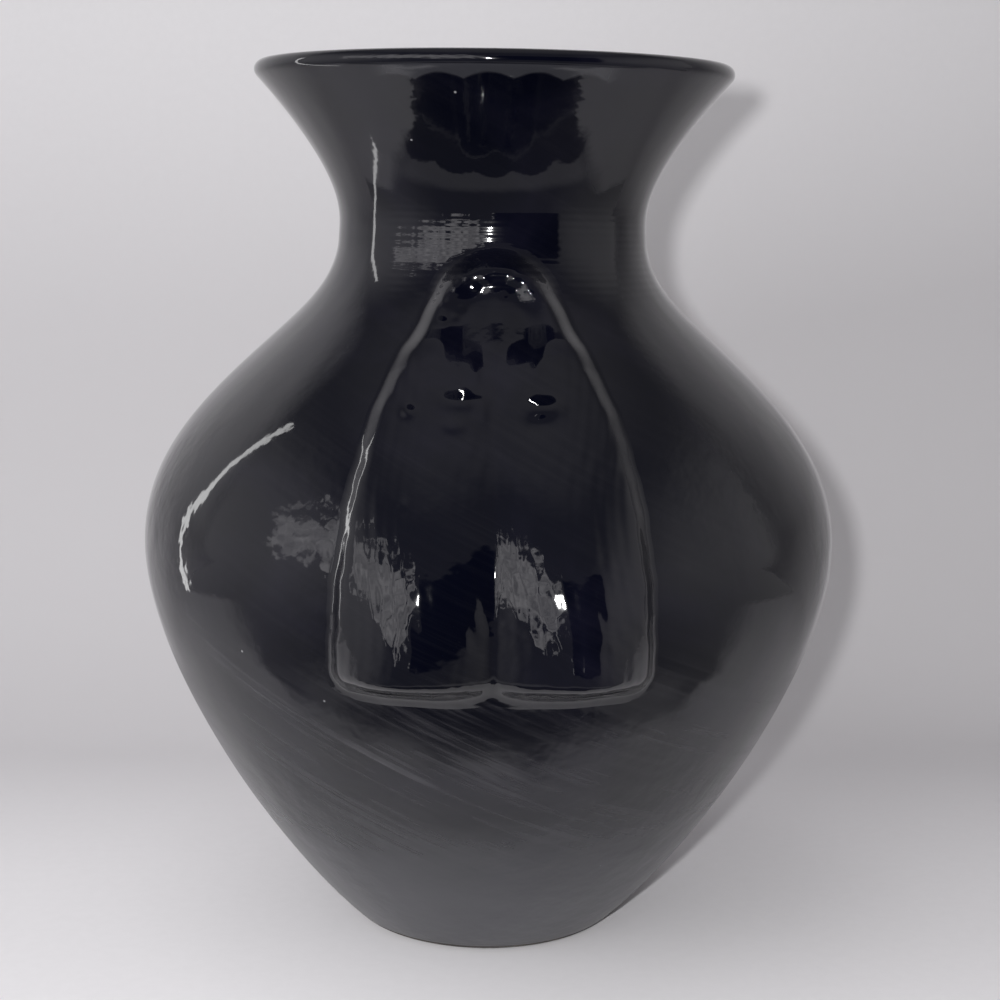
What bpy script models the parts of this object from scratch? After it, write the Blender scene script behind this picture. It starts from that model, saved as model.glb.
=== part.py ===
"""Glazed vase with a flared neck and a raised relief of two rounded lobes.

Metres, +Z up. The origin is the middle of the flat base and the relief faces -Y.
"""
import math

import bmesh
import bpy
import numpy as np

GAP = 0.0003

# Outline of the pot: heights, radii and wall
HEIGHT = 0.250
RIM_RADIUS = 0.068
NECK_RADIUS = 0.0442
NECK_HEIGHT = 0.2006
SHOULDER_RADIUS = 0.1004
SHOULDER_HEIGHT = 0.1142
BASE_RADIUS = 0.038
BASE_ROUNDING = 0.007
WALL = 0.0052
FLOOR = 0.009

# Leaning angles from the vertical, and pulls as shares of each curve's height
FLARE_LEAN = math.radians(42.0)
BASE_LEAN = math.radians(47.0)
FLARE_PULLS = (0.87, 0.16)
SHOULDER_PULLS = (0.275, 0.505)
BELLY_PULLS = (0.305, 0.30)

# Joints between the thrown sections: under the narrowest point, and under the lip
NECK_JOINT_DROP = 0.0186
NECK_JOINT = NECK_HEIGHT - NECK_JOINT_DROP
LIP_BAND = 0.004

# Relief outline, with the pulls as shares of its half width and of each curve's height
RELIEF_FOOT = 0.0905
RELIEF_APEX_DROP = 0.0011
RELIEF_APEX = NECK_HEIGHT - RELIEF_APEX_DROP
RELIEF_HALF_WIDTH = 0.042
RELIEF_CORNER = 0.0065
RELIEF_RIM = 0.0012
HOOD_HEIGHT = 0.0235
HOOD_HALF_WIDTH = 0.0226
LOBE_PULLS = ((-0.012, 0.35), (-0.131, 0.81))
HOOD_PULLS = ((-0.107, 0.30), (-0.179, 0.955))

# Lobes: how far they stand off the wall, and how they fall to the valley, the flanks and the foot
LOBE_FOOT_RISE = 0.0136
LOBE_TOP_RISE = 0.0034
LOBE_TAPER = 0.060
TAPER_EASE = 1.5
VALLEY_DEPTH = 0.88
VALLEY_REACH = 0.66
VALLEY_EASE = 2.2
FLANK_REACH = 0.52
FLANK_DROPS = (0.85, 0.25)
FLANK_EASE = 1.5
FOOT_ROUNDING = 0.0066
EDGE_WIDTH = 0.0040

# Hood: a thick rim round a hollow that the lobes' tops stand out of
RIM_FOOT_RISE = 0.0042
RIM_TOP_RISE = 0.0060
HOLLOW_RISE = 0.0012
HOLLOW_DROP = 0.0210
HOLLOW_HEIGHT = 0.0165
HOLLOW_HALF_WIDTH = 0.0145
HOLLOW_FLAT = 0.52
BROW_DROP = 0.0247
BROW_HEIGHT = 0.0052

# Faces round the axis, along each curve and over each piece of the relief
RING_STEPS = 56
CURVE_STEPS = 7
EDGE_STEPS = 5
CORNER_STEPS = 8
LOBE_GRID = (12, 26)
HOOD_GRID = (18, 14)
ROW_EASE = 1.5
WELD = 1e-6

GLAZE = (0.014, 0.014, 0.018)
GLAZE_ROUGHNESS = 0.10
BODY_CLAY = (0.020, 0.019, 0.021)
CLAY_ROUGHNESS = 0.35


def clear_scene():
    for item in list(bpy.data.objects):
        bpy.data.objects.remove(item, do_unlink=True)


def glaze_material(name, colour, roughness):
    """A glossy, non-metallic material."""
    material = bpy.data.materials.new(name)
    material.use_nodes = True
    shader = material.node_tree.nodes["Principled BSDF"]
    shader.inputs["Base Color"].default_value = (*colour, 1.0)
    shader.inputs["Roughness"].default_value = roughness
    shader.inputs["Metallic"].default_value = 0.0
    return material


def cubic(start, pull_out, pull_in, end, steps):
    """Points along a cubic curve, its start left out."""
    t = np.linspace(0.0, 1.0, steps + 1)[1:, None]
    s = 1.0 - t
    return s**3 * start + 3 * s * s * t * pull_out + 3 * s * t * t * pull_in + t**3 * end


def arc(centre, radius, start, end, steps):
    """Points along an arc in the radius and height plane."""
    angle = np.linspace(start, end, steps + 1)
    return np.asarray(centre) + radius * np.column_stack((np.cos(angle), np.sin(angle)))


def down(lean):
    """Direction down a wall that leans out by the angle from the vertical."""
    return np.array((-math.sin(lean), -math.cos(lean)))


def pot_outline():
    """Outer wall from the flare's top to the edge of the flat base, as (radius, height)."""
    lip = WALL / 2
    lip_centre = np.array((RIM_RADIUS - lip, HEIGHT - lip))
    top = lip_centre + lip * np.array((math.cos(FLARE_LEAN), -math.sin(FLARE_LEAN)))
    neck = np.array((NECK_RADIUS, NECK_HEIGHT))
    shoulder = np.array((SHOULDER_RADIUS, SHOULDER_HEIGHT))
    edge_centre = base_edge_centre()
    foot = edge_centre + BASE_ROUNDING * np.array((math.cos(BASE_LEAN), -math.sin(BASE_LEAN)))
    up = np.array((0.0, 1.0))
    flare_span = top[1] - NECK_HEIGHT
    shoulder_span = NECK_HEIGHT - SHOULDER_HEIGHT
    belly_span = SHOULDER_HEIGHT - foot[1]
    flare = cubic(top, top + down(FLARE_LEAN) * FLARE_PULLS[0] * flare_span,
                  neck + up * FLARE_PULLS[1] * flare_span, neck, CURVE_STEPS)
    slope = cubic(neck, neck - up * SHOULDER_PULLS[0] * shoulder_span,
                  shoulder + up * SHOULDER_PULLS[1] * shoulder_span, shoulder, 2 * CURVE_STEPS)
    belly = cubic(shoulder, shoulder - up * BELLY_PULLS[0] * belly_span,
                  foot - down(BASE_LEAN) * BELLY_PULLS[1] * belly_span, foot, 2 * CURVE_STEPS)
    return np.vstack((top[None], flare, slope, belly, base_edge()))


def base_edge_centre():
    """Centre of the rounded edge between the wall and the flat base."""
    reach = BASE_ROUNDING * math.tan((math.pi / 2 - BASE_LEAN) / 2)
    return np.array((BASE_RADIUS - reach, BASE_ROUNDING))


def base_edge():
    """Rounded edge from the wall's foot in to the flat base, its start left out."""
    return arc(base_edge_centre(), BASE_ROUNDING, -BASE_LEAN, -math.pi / 2, EDGE_STEPS)[1:]


def outward(points):
    """Unit normals that point out of the pot, for an outline that runs downwards."""
    run = np.gradient(points, axis=0)
    normal = np.column_stack((-run[:, 1], run[:, 0]))
    return normal / np.linalg.norm(normal, axis=1)[:, None]


OUTLINE = pot_outline()
NORMALS = outward(OUTLINE)
NORMALS[0] = (math.cos(FLARE_LEAN), -math.sin(FLARE_LEAN))


def at_height(height):
    """Outline point and normal at a height on the wall."""
    rising = OUTLINE[::-1, 1]
    point = np.array((np.interp(height, rising, OUTLINE[::-1, 0]), height))
    normal = np.array([np.interp(height, rising, NORMALS[::-1, k]) for k in range(2)])
    return point, normal / np.linalg.norm(normal)


def wall_radius(height):
    return float(np.interp(height, OUTLINE[::-1, 1], OUTLINE[::-1, 0]))


def wall_strip(top, bottom):
    """Outer points and inner points of the wall between two heights, both running down."""
    keep = (OUTLINE[:, 1] < top - GAP) & (OUTLINE[:, 1] > bottom + GAP)
    first, first_normal = at_height(top)
    last, last_normal = at_height(bottom)
    points = np.vstack((first[None], OUTLINE[keep], last[None]))
    normals = np.vstack((first_normal[None], NORMALS[keep], last_normal[None]))
    return points, points - WALL * normals


def spin_closed(name, loop, material):
    """Turn a loop of (radius, height) points about the axis into one closed body."""
    mesh = bmesh.new()
    verts = [mesh.verts.new((max(r, 0.0), 0.0, z)) for r, z in loop]
    on_axis = loop[0][0] == 0.0
    pairs = list(zip(verts, verts[1:])) if on_axis else list(zip(verts, verts[1:] + verts[:1]))
    edges = [mesh.edges.new(pair) for pair in pairs]
    bmesh.ops.spin(mesh, geom=verts + edges, cent=(0, 0, 0), axis=(0, 0, 1), angle=math.tau,
                   steps=RING_STEPS, use_merge=True)
    bmesh.ops.remove_doubles(mesh, verts=mesh.verts[:], dist=WELD)
    finish(name, mesh, material)


def finish(name, mesh, material):
    """Store the mesh as a smooth-shaded object whose faces point outwards."""
    bmesh.ops.recalc_face_normals(mesh, faces=mesh.faces[:])
    if mesh.calc_volume(signed=True) < 0.0:
        bmesh.ops.reverse_faces(mesh, faces=mesh.faces[:])
    data = bpy.data.meshes.new(name)
    mesh.to_mesh(data)
    mesh.free()
    data.materials.append(material)
    data.polygons.foreach_set("use_smooth", [True] * len(data.polygons))
    item = bpy.data.objects.new(name, data)
    bpy.context.scene.collection.objects.link(item)


def build_base(joint, material):
    """Floor disc with the flat base and its rounded edge."""
    outer, inner = wall_strip(joint, BASE_ROUNDING * (1 - math.sin(BASE_LEAN)))
    loop = [(0.0, FLOOR), (inner[0][0], FLOOR), *outer, *base_edge(), (0.0, 0.0)]
    spin_closed("base", loop, material)


def build_wall(name, top, bottom, material):
    """One ring of the wall, cut square to the wall at both ends."""
    outer, inner = wall_strip(top, bottom)
    spin_closed(name, [*outer, *inner[::-1]], material)


def build_lip(joint, material):
    """Rounded lip above the neck, a half round over a short band of wall."""
    outer, inner = wall_strip(OUTLINE[0][1], joint)
    centre = (outer[0] + inner[0]) / 2
    bead = arc(centre, WALL / 2, math.pi - FLARE_LEAN, -FLARE_LEAN, 2 * CURVE_STEPS)[1:-1]
    spin_closed("rim_lip", [*bead, *outer, *inner[::-1]], material)


def relief_outline():
    """Half outline of the relief from its foot to its apex, as (half width, height)."""
    corner = np.array((RELIEF_HALF_WIDTH - RELIEF_CORNER, RELIEF_FOOT + RELIEF_CORNER))
    foot = arc(corner, RELIEF_CORNER, -math.pi / 2, 0.0, CORNER_STEPS)
    split = np.array((HOOD_HALF_WIDTH, HOOD_FOOT))
    apex = np.array((RELIEF_RIM, RELIEF_APEX))
    lobe = cubic(foot[-1], *handles(foot[-1], split, LOBE_PULLS), split, 3 * CURVE_STEPS)
    hood = cubic(split, *handles(split, apex, HOOD_PULLS), apex, 3 * CURVE_STEPS)
    return np.vstack((foot, lobe, hood))


def handles(low, high, pulls):
    """Handles of a relief curve, by shares of the relief's half width and of the curve's height."""
    span = high[1] - low[1]
    return [low + np.array((inwards * RELIEF_HALF_WIDTH, up * span)) for inwards, up in pulls]


HOOD_FOOT = RELIEF_APEX - HOOD_HEIGHT
RELIEF_OUTLINE = relief_outline()


def relief_half_width(height):
    return float(np.interp(height, RELIEF_OUTLINE[:, 1], RELIEF_OUTLINE[:, 0]))


def eased(share):
    """Smooth step from 0 to 1 while the share goes from 0 to 1."""
    held = min(max(share, 0.0), 1.0)
    return held * held * (3.0 - 2.0 * held)


def lobe_rise(share, height):
    """Rise of a lobe: thickest at its foot, with a valley at the middle and a falling flank."""
    climb = min(max((height - RELIEF_FOOT - RELIEF_CORNER) / LOBE_TAPER, 0.0), 1.0)
    rise = LOBE_TOP_RISE + (LOBE_FOOT_RISE - LOBE_TOP_RISE) * (1.0 - climb) ** TAPER_EASE
    rise *= 1.0 - VALLEY_DEPTH * max(1.0 - share / VALLEY_REACH, 0.0) ** VALLEY_EASE
    drop = FLANK_DROPS[0] + (FLANK_DROPS[1] - FLANK_DROPS[0]) * climb
    rise *= 1.0 - drop * max(1.0 - (1.0 - share) / FLANK_REACH, 0.0) ** FLANK_EASE
    foot = min(max((height - RELIEF_FOOT) / FOOT_ROUNDING, 0.0), 1.0)
    return rise * math.sqrt(1.0 - (1.0 - foot) ** 2)


def hood_rise(across, height):
    """Rise of the hood: a rim that thickens towards the apex, round a hollow."""
    up = (height - (RELIEF_APEX - HOLLOW_DROP)) / HOLLOW_HEIGHT
    rim = RIM_FOOT_RISE + (RIM_TOP_RISE - RIM_FOOT_RISE) * eased(up)
    reach = math.hypot(across / HOLLOW_HALF_WIDTH, max(up, 0.0))
    return HOLLOW_RISE + (rim - HOLLOW_RISE) * eased((reach - HOLLOW_FLAT) / (1.0 - HOLLOW_FLAT))


def relief_rise(share, height):
    """Rise of the relief above the wall at a share of its half width."""
    share = min(abs(share), 1.0)
    half = relief_half_width(height)
    cover = eased((height - (RELIEF_APEX - BROW_DROP)) / BROW_HEIGHT + 0.5)
    rise = lobe_rise(share, height) * (1.0 - cover) + hood_rise(share * half, height) * cover
    inside = min(half * (1.0 - share), RELIEF_APEX - height)
    return max(rise * min(inside / EDGE_WIDTH, 1.0), RELIEF_RIM)


def on_wall(share, height, rise):
    """Point over the front of the wall, by its share of the relief's half width."""
    turn = share * relief_half_width(height) / wall_radius(height)
    radius = wall_radius(height) + GAP + rise
    return radius * math.sin(turn), -radius * math.cos(turn), height


def relief_piece(name, grid, share_at, height_at, material):
    """A closed pillow on the wall: a flat grid, thickened, then laid on the wall.

    share_at gives the share of the half width, and height_at the height, for grid places 0 to 1.
    """
    mesh = bmesh.new()
    bmesh.ops.create_grid(mesh, x_segments=grid[0], y_segments=grid[1], size=0.5)
    front = bmesh.ops.extrude_face_region(mesh, geom=mesh.faces[:], use_keep_orig=True)["geom"]
    raised = {vert for vert in front if isinstance(vert, bmesh.types.BMVert)}
    for vert in mesh.verts:
        height = height_at(min(max(vert.co.y + 0.5, 0.0), 1.0))
        across = 0.5 - math.cos(math.pi * min(max(vert.co.x + 0.5, 0.0), 1.0)) / 2
        share = share_at(across, height)
        vert.co = on_wall(share, height, relief_rise(share, height) if vert in raised else 0.0)
    finish(name, mesh, material)


def build_relief(material):
    """Two upright lobes and the hood that joins them at the top."""
    lobe_span = HOOD_FOOT - GAP / 2 - RELIEF_FOOT
    hood_start = HOOD_FOOT + GAP / 2
    hood_span = RELIEF_APEX - hood_start
    for name, side in (("relief_lobe_left", -1.0), ("relief_lobe_right", 1.0)):
        relief_piece(name, LOBE_GRID,
                     lambda across, z, side=side: side * max(across, GAP / 2 / relief_half_width(z)),
                     lambda t: RELIEF_FOOT + lobe_span * t**ROW_EASE, material)
    relief_piece("relief_hood", HOOD_GRID, lambda across, z: 2.0 * across - 1.0,
                 lambda t: hood_start + hood_span * (1.0 - (1.0 - t)**ROW_EASE), material)


def main():
    clear_scene()
    floor_joint = FLOOR - WALL * math.sin(BASE_LEAN)
    lip_joint = OUTLINE[0][1] - LIP_BAND
    build_base(floor_joint - GAP / 2, glaze_material("base_clay", BODY_CLAY, CLAY_ROUGHNESS))
    for name, top, bottom in (("lower_body", SHOULDER_HEIGHT, floor_joint),
                              ("shoulder", NECK_JOINT, SHOULDER_HEIGHT),
                              ("neck", lip_joint, NECK_JOINT)):
        build_wall(name, top - GAP / 2, bottom + GAP / 2,
                   glaze_material(name + "_glaze", GLAZE, GLAZE_ROUGHNESS))
    build_lip(lip_joint + GAP / 2, glaze_material("lip_glaze", GLAZE, GLAZE_ROUGHNESS))
    build_relief(glaze_material("relief_glaze", GLAZE, GLAZE_ROUGHNESS))


main()
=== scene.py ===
"""A black glazed vase with a raised relief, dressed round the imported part.

Metres, +Z up. The pot stands on its flat base at the origin and the relief faces -Y.
A field of two Levels gives where an effect starts and where it is full.
"""
import logging
import math
from dataclasses import dataclass, field
from enum import Enum
from typing import Optional, Sequence, Union

import bmesh
import bpy
import numpy as np
from mathutils import Matrix, Vector


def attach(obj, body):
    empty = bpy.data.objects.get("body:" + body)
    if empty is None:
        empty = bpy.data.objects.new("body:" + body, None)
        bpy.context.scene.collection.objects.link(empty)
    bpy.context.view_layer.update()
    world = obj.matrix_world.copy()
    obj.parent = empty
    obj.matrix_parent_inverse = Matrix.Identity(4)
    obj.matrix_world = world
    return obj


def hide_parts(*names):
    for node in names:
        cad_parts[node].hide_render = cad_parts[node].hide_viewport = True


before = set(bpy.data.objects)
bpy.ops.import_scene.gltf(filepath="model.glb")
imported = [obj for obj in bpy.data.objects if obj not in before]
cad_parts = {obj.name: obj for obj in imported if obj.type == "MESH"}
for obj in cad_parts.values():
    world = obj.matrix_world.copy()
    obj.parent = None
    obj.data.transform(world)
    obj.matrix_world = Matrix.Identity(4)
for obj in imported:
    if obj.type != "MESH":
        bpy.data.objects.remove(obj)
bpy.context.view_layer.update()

ROOT = "root"
LOG = logging.getLogger("vase")
TINY = 1e-6
Number = Union[int, float]
Places = Union[float, np.ndarray]
Pair = tuple[float, float]
Levels = tuple[float, float]
Triple = tuple[float, float, float]


class Value:
    """A shader socket that takes part in arithmetic: each operation adds one Math node."""

    def __init__(self, sheet: "NodeSheet", socket: bpy.types.NodeSocket) -> None:
        """Keep the socket and the sheet it belongs to."""
        self.sheet = sheet
        self.socket = socket

    def maths(self, operation: str, *others: Union["Value", Number]) -> "Value":
        """Combine this value with others.

        Args:
            operation: the Math node's operation.
            others: the second and third operands, as values or numbers.

        Returns:
            The result as a new value.
        """
        inputs = {0: self, **{n + 1: other for n, other in enumerate(others)}}
        return self.sheet.value("ShaderNodeMath", 0, {"operation": operation}, inputs)

    def __add__(self, other: Union["Value", Number]) -> "Value":
        """Add."""
        return self.maths("ADD", other)

    __radd__ = __add__

    def __mul__(self, other: Union["Value", Number]) -> "Value":
        """Multiply."""
        return self.maths("MULTIPLY", other)

    __rmul__ = __mul__

    def __neg__(self) -> "Value":
        """Change the sign."""
        return self * -1.0

    def __sub__(self, other: Union["Value", Number]) -> "Value":
        """Subtract."""
        return self.maths("SUBTRACT", other)

    def __rsub__(self, other: Number) -> "Value":
        """Subtract this value from a number."""
        return -self + other

    def __truediv__(self, other: Union["Value", Number]) -> "Value":
        """Divide."""
        return self.maths("DIVIDE", other)

    def __pow__(self, other: Union["Value", Number]) -> "Value":
        """Raise to a power."""
        return self.maths("POWER", other)

    def __abs__(self) -> "Value":
        """Drop the sign."""
        return self.maths("ABSOLUTE")

    def clamp(self) -> "Value":
        """Hold between 0 and 1."""
        return self.maths("MAXIMUM", 0.0).maths("MINIMUM", 1.0)

    def step(self, low: float, high: float) -> "Value":
        """Ease from 0 to 1 between two levels.

        Args:
            low: the level that gives 0.
            high: the level that gives 1; it may lie under low.

        Returns:
            The eased value.
        """
        return self.sheet.value("ShaderNodeMapRange", "Result", {"interpolation_type": "SMOOTHSTEP"},
                                {"Value": self, "From Min": low, "From Max": high})


@dataclass(frozen=True)
class Grain:
    """A noise pattern: features to a metre, finer layers, their strength and the pattern's bend."""

    scale: float
    detail: float = 2.0
    roughness: float = 0.5
    distortion: float = 0.0


class NodeSheet:
    """The node tree of one finish, with one method that makes any node."""

    FIRST_COLOUR, SECOND_COLOUR, MIXED_COLOUR = 6, 7, 2

    def __init__(self, tree: bpy.types.NodeTree) -> None:
        """Start on a node tree, emptied."""
        tree.nodes.clear()
        self.tree = tree

    def node(self, kind: str, settings: Optional[dict] = None,
             inputs: Optional[dict] = None) -> bpy.types.Node:
        """Make a node.

        Args:
            kind: the node's type name.
            settings: properties that are set first.
            inputs: socket names or numbers with their values, links or other nodes' sockets.

        Returns:
            The new node.
        """
        made = self.tree.nodes.new(kind)
        for name, value in (settings or {}).items():
            setattr(made, name, value)
        for name, value in (inputs or {}).items():
            socket = made.inputs[name]
            if isinstance(value, Value):
                value = value.socket
            if isinstance(value, bpy.types.NodeSocket):
                self.tree.links.new(value, socket)
            else:
                socket.default_value = value
        return made

    def value(self, kind: str, output: Union[str, int], settings: Optional[dict] = None,
              inputs: Optional[dict] = None) -> Value:
        """Make a node and give one of its outputs as a value."""
        return Value(self, self.node(kind, settings, inputs).outputs[output])

    def place(self) -> bpy.types.NodeSocket:
        """Object coordinates of the shaded point."""
        return self.node("ShaderNodeTexCoord").outputs["Object"]

    def turned(self, scale: Triple, turn: Triple = (0.0, 0.0, 0.0)) -> bpy.types.NodeSocket:
        """Object coordinates, turned by angles and then scaled along each axis.

        Args:
            scale: factors along X, Y and Z.
            turn: angles about X, Y and Z in radians.

        Returns:
            The mapped coordinates.
        """
        place = self.place()
        for change in ({"Rotation": turn}, {"Scale": scale}):
            place = self.node("ShaderNodeMapping", {"vector_type": "POINT"},
                              {"Vector": place, **change}).outputs[0]
        return place

    def parts(self, vector: bpy.types.NodeSocket) -> tuple[Value, ...]:
        """The X, Y and Z of a vector."""
        node = self.node("ShaderNodeSeparateXYZ", None, {0: vector})
        return tuple(Value(self, output) for output in node.outputs)

    def turn_and_height(self) -> tuple[Value, Value]:
        """Angle round the pot's axis, 0 in front and positive at the right, and height."""
        x, y, height = self.parts(self.place())
        return x.maths("ARCTAN2", -y), height

    def noise(self, place: bpy.types.NodeSocket, grain: Grain) -> Value:
        """Smooth noise from 0 to 1 at a place."""
        return self.value("ShaderNodeTexNoise", "Fac", None,
                          {"Vector": place, "Scale": grain.scale, "Detail": grain.detail,
                           "Roughness": grain.roughness, "Distortion": grain.distortion})

    def blend(self, share: Value, first: Union[Triple, bpy.types.NodeSocket],
              second: Triple) -> bpy.types.NodeSocket:
        """Mix two colours.

        Args:
            share: how much of the second colour shows.
            first: a colour or another node's colour socket.
            second: the colour that is laid over it.

        Returns:
            The mixed colour's socket.
        """
        colours = {self.FIRST_COLOUR: first, self.SECOND_COLOUR: second}
        inputs = {slot: (*colour, 1.0) if isinstance(colour, tuple) else colour
                  for slot, colour in colours.items()}
        mix = self.node("ShaderNodeMix", {"data_type": "RGBA"}, {0: share, **inputs})
        return mix.outputs[self.MIXED_COLOUR]


@dataclass(frozen=True)
class Finish:
    """A material made of nodes; each kind builds its own shader."""

    name: str

    def make(self) -> bpy.types.Material:
        """Build the material.

        Returns:
            The new material.
        """
        material = bpy.data.materials.new(self.name)
        material.use_nodes = True
        sheet = NodeSheet(material.node_tree)
        sheet.node("ShaderNodeOutputMaterial", None, {"Surface": self.shader(sheet).outputs[0]})
        return material

    def shader(self, sheet: NodeSheet) -> bpy.types.Node:
        """Build the shader's nodes and give the last of them."""
        raise NotImplementedError


@dataclass(frozen=True)
class Clouds:
    """Faint uneven patches in the glaze, a few centimetres across."""

    grain: Grain = Grain(22.0, 4.0, 0.55, 0.8)
    levels: Levels = (0.42, 0.72)

    def mask(self, sheet: NodeSheet) -> Value:
        """Strength of the patches."""
        return sheet.noise(sheet.place(), self.grain).step(*self.levels)


@dataclass(frozen=True)
class PaintedReflectionBands:
    """Painted reflections that strengthen the streaks: a band that sinks from the left to under the relief,
    for the bright table edge, and a low sheen on the front, for the bright table near the foot.
    """

    grain: Grain = Grain(30.0, 3.0, 0.6)
    band_height: float = 0.0665
    band_bend: float = 0.035
    band_waver: float = 0.010
    band_edge: Levels = (0.0085, 0.0015)
    band_right: Levels = (0.42, 0.05)
    band_left: Levels = (-1.05, -0.80)
    low_sheen_waver: float = 0.02
    low_sheen_top: Levels = (0.102, 0.088)
    low_sheen_foot: Levels = (0.030, 0.045)
    low_sheen_turn_waver: float = 0.8
    low_sheen_right: Levels = (0.85, -0.10)
    low_sheen_left: Levels = (-1.0, -0.5)
    low_sheen_front: float = 0.30
    low_sheen_least: float = 0.12

    def mask(self, sheet: NodeSheet) -> Value:
        """Strength of the painted reflection band or of the low painted sheen, whichever is more.

        Args:
            sheet: the glaze's node sheet.

        Returns:
            The strength from 0 to 1.
        """
        turn, height = sheet.turn_and_height()
        uneven = sheet.noise(sheet.place(), self.grain) - 0.5
        # Painted reflection: a band where the bright table edge shows in the glaze.
        middle = turn.maths("MINIMUM", 0.0) ** 2.0 * self.band_bend + self.band_height
        off = abs(height - middle + uneven * self.band_waver)
        band = off.step(*self.band_edge) * turn.step(*self.band_right) * turn.step(*self.band_left)
        # Painted reflection: a low sheen on the front where the bright table shows near the foot.
        low = (height + uneven * self.low_sheen_waver).step(*self.low_sheen_top) * height.step(*self.low_sheen_foot)
        across = (turn + uneven * self.low_sheen_turn_waver).step(*self.low_sheen_right)
        side = across * turn.step(*self.low_sheen_left) * self.low_sheen_front + self.low_sheen_least
        return band.maths("MAXIMUM", low * side)


@dataclass(frozen=True)
class FootFilmAndLipReflection:
    """A pale film that grows towards the foot, and a painted reflection: a pale scalloped band under the
    lip, on the front only.
    """

    scale: Triple = (26.0, 26.0, 60.0)
    grain: Grain = Grain(1.0, 4.0, 0.6)
    foot_waver: float = 0.045
    foot_levels: Levels = (0.060, 0.018)
    foot_least: float = 0.40
    foot_more: float = 0.70
    scallops: float = 16.0
    scallop_start: float = 0.6
    scallop_depth: float = 0.0016
    scallop_waver: float = 0.003
    lip_foot: Levels = (0.2420, 0.2428)
    lip_top: Levels = (0.2462, 0.2458)
    lip_share: float = 0.42
    lip_side: Levels = (0.52, 0.40)

    def mask(self, sheet: NodeSheet) -> Value:
        """Strength of the pale film and of the painted reflection under the lip.

        Args:
            sheet: the glaze's node sheet.

        Returns:
            The strength.
        """
        turn, height = sheet.turn_and_height()
        uneven = sheet.noise(sheet.turned(self.scale), self.grain)
        foot = (height + (uneven - 0.5) * self.foot_waver).step(*self.foot_levels)
        foot = foot * (self.foot_least + uneven * self.foot_more)
        scallops = abs((turn * self.scallops + self.scallop_start).maths("COSINE")) * self.scallop_depth
        scallops = scallops + (uneven - 0.5) * self.scallop_waver
        # Painted reflection: a pale band just under the lip, shown only on the front.
        lip = (height - scallops).step(*self.lip_foot) * height.step(*self.lip_top) * self.lip_share
        return foot + lip * abs(turn).step(*self.lip_side)


@dataclass(frozen=True)
class Streaks:
    """Fine slanting marks, broken by gaps."""

    slant: Triple = (0.0, math.radians(-27.0), 0.0)
    line_scale: Triple = (16.0, 9.0, 620.0)
    line_grain: Grain = Grain(1.0, 4.0, 0.65)
    line_levels: Levels = (0.40, 0.74)
    gap_scale: Triple = (34.0, 26.0, 110.0)
    gap_grain: Grain = Grain(1.0, 3.0)
    gap_levels: Levels = (0.38, 0.64)
    least: float = 0.25

    def mask(self, sheet: NodeSheet) -> Value:
        """Strength of the marks.

        Args:
            sheet: the glaze's node sheet.

        Returns:
            The strength from 0 to 1.
        """
        lines = sheet.noise(sheet.turned(self.line_scale, self.slant), self.line_grain)
        gaps = sheet.noise(sheet.turned(self.gap_scale, self.slant), self.gap_grain)
        shown = self.least + gaps.step(*self.gap_levels) * (1.0 - self.least)
        return (lines.step(*self.line_levels) * shown).clamp()


@dataclass(frozen=True)
class Specks:
    """Tiny pale pinholes, a few to each patch of a few centimetres."""

    scale: float = 95.0
    size_levels: Levels = (0.045, 0.02)
    pick_levels: Levels = (0.86, 0.88)

    def mask(self, sheet: NodeSheet) -> Value:
        """Strength of the pinholes.

        Args:
            sheet: the glaze's node sheet.

        Returns:
            The strength from 0 to 1.
        """
        cells = sheet.node("ShaderNodeTexVoronoi", {"feature": "F1"},
                           {"Vector": sheet.place(), "Scale": self.scale, "Randomness": 1.0})
        size = Value(sheet, cells.outputs["Distance"])
        pick = sheet.value("ShaderNodeSeparateColor", "Red", None, {"Color": cells.outputs["Color"]})
        return size.step(*self.size_levels) * pick.step(*self.pick_levels)


@dataclass(frozen=True)
class Surface:
    """Throwing rings on the front of the neck, orange peel and slow waves, as heights."""

    ring_pitch: float = 0.0019
    ring_drift: Grain = Grain(14.0)
    ring_bend: float = 12.0
    ring_foot: Levels = (0.183, 0.190)
    ring_top: Levels = (0.216, 0.205)
    ring_left: Levels = (-0.031, -0.026)
    ring_rise: float = 0.045
    peel: Grain = Grain(330.0)
    peel_rise: float = 0.035
    wave: Grain = Grain(75.0, 3.0)
    wave_rise: float = 0.35
    patch: Grain = Grain(16.0, 1.0)
    patch_levels: Levels = (0.42, 0.60)
    patch_top: Levels = (0.160, 0.145)
    patch_rise: float = 1.5

    def height(self, sheet: NodeSheet) -> Value:
        """Sum of the rings, the peel and the waves, which are deeper in patches of the body.

        Args:
            sheet: the glaze's node sheet.

        Returns:
            The height, in the bump's own measure.
        """
        x, _, height = sheet.parts(sheet.place())
        drift = sheet.noise(sheet.place(), self.ring_drift)
        rings = (height * (math.tau / self.ring_pitch) + drift * self.ring_bend).maths("SINE")
        grooved = height.step(*self.ring_foot) * height.step(*self.ring_top) * x.step(*self.ring_left)
        peel = sheet.noise(sheet.place(), self.peel)
        wave = sheet.noise(sheet.place(), self.wave)
        patch = sheet.noise(sheet.place(), self.patch).step(*self.patch_levels)
        patch = patch * height.step(*self.patch_top)
        return (rings * grooved * self.ring_rise + peel * self.peel_rise
                + wave * (self.wave_rise + patch * self.patch_rise))


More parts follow.
